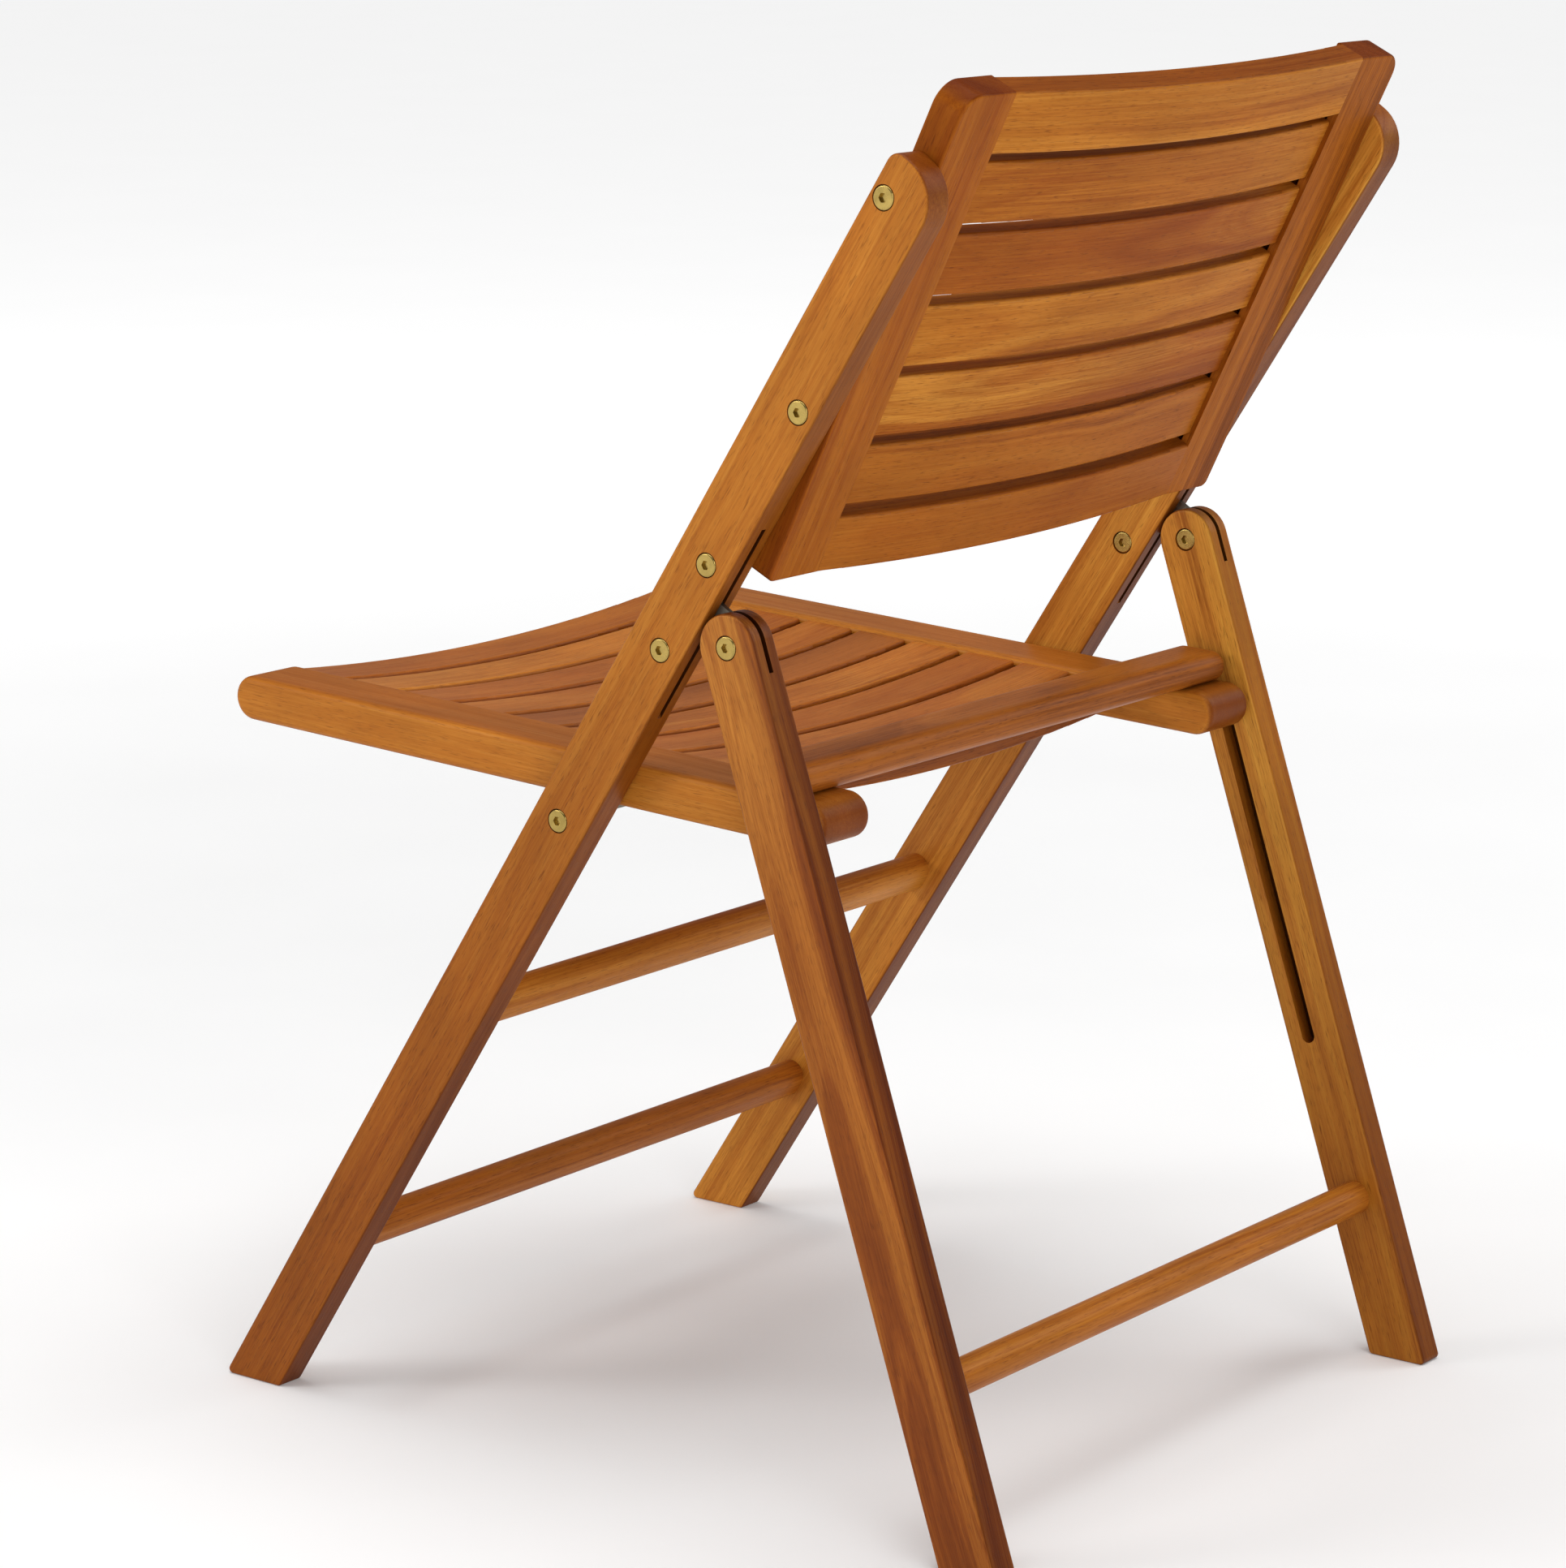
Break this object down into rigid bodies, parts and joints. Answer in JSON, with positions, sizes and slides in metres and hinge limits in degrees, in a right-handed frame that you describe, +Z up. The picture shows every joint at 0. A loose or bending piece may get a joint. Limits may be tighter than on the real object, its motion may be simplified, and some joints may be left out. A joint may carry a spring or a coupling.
{
  "type": "folding chair",
  "caption": "Wooden folding chair with a dished slatted seat, a curved slatted backrest and straight legs that swing on steel plates, held by recessed furniture bolts.",
  "frame": {"origin": "centre of the chair's footprint at floor level, chair unfolded", "axes": "+Z up, the sitter faces -Y, the sitter's left side is +X"},
  "size_m": [0.4808, 0.586, 0.8175],
  "materials": {
    "post_wood": "oiled satin hardwood",
    "leg_wood": "oiled satin hardwood, streaked",
    "stretcher_wood": "oiled satin hardwood",
    "back_frame_wood": "oiled satin hardwood",
    "back_slat_wood": "oiled satin hardwood, streaked",
    "seat_rail_wood": "oiled satin hardwood",
    "seat_slat_wood": "oiled satin hardwood, streaked",
    "bolt_brass": "pale brass plating, satin",
    "fitting_steel": "zinc plated, satin"
  },
  "bodies": {
    "frame": {"left_post": "post_wood", "right_post": "post_wood", "front_upper_stretcher": "stretcher_wood", "front_lower_stretcher": "stretcher_wood", "back_stile_left": "back_frame_wood", "back_stile_right": "back_frame_wood", "back_top_rail": "back_frame_wood", "back_bottom_rail": "back_frame_wood", "back_slat_1": "back_slat_wood", "back_slat_2": "back_slat_wood", "back_slat_3": "back_slat_wood", "back_slat_4": "back_slat_wood", "back_slat_5": "back_slat_wood", "hinge_plate_left": "fitting_steel", "hinge_plate_right": "fitting_steel", "back_bolts": "bolt_brass", "hinge_plate_bolts": "bolt_brass", "hinge_plate_sleeve_nuts": "bolt_brass", "seat_pivot_bolts": "bolt_brass", "seat_pivot_nuts": "fitting_steel", "seat_pivot_washers": "fitting_steel"},
    "rear_legs": {"rear_leg_left": "leg_wood", "rear_leg_right": "leg_wood", "rear_stretcher": "stretcher_wood", "leg_pivot_bolts": "bolt_brass", "leg_pivot_sleeve_nuts": "bolt_brass"},
    "seat": {"seat_rail_left": "seat_rail_wood", "seat_rail_right": "seat_rail_wood", "seat_slat_1": "seat_slat_wood", "seat_slat_2": "seat_slat_wood", "seat_slat_3": "seat_slat_wood", "seat_slat_4": "seat_slat_wood", "seat_slat_5": "seat_slat_wood", "seat_slat_6": "seat_slat_wood", "seat_slat_7": "seat_slat_wood", "seat_slat_8": "seat_slat_wood", "seat_slat_9": "seat_slat_wood", "seat_crossbar": "seat_rail_wood", "seat_pivot_bracket_left": "fitting_steel", "seat_pivot_bracket_right": "fitting_steel", "bracket_screws": "fitting_steel", "crossbar_screws": "fitting_steel"},
    "guide_pins": {"guide_pin_left": "fitting_steel", "guide_pin_right": "fitting_steel"}
  },
  "joints": [
    {"name": "seat_fold", "type": "hinge", "parent": "frame", "child": "seat", "pos_m": [0, -0.01565, 0.3899], "axis": [-1, 0, 0], "range_deg": [0, 113.3]},
    {"name": "rear_leg_fold", "type": "hinge", "parent": "frame", "child": "rear_legs", "pos_m": [0, 0.10814, 0.50385], "axis": [-1, 0, 0], "range_deg": [0, 51]},
    {"name": "guide_pin_slide", "type": "slide", "parent": "rear_legs", "child": "guide_pins", "axis": [0, 0.313, -0.9498], "range_m": [0, 0.2075]}
  ],
  "couplings": [
    {"joint": "rear_leg_fold", "follows": "seat_fold", "ratio": 0.45},
    {"joint": "guide_pin_slide", "follows": "seat_fold", "m_per_rad": 0.1049}
  ]
}
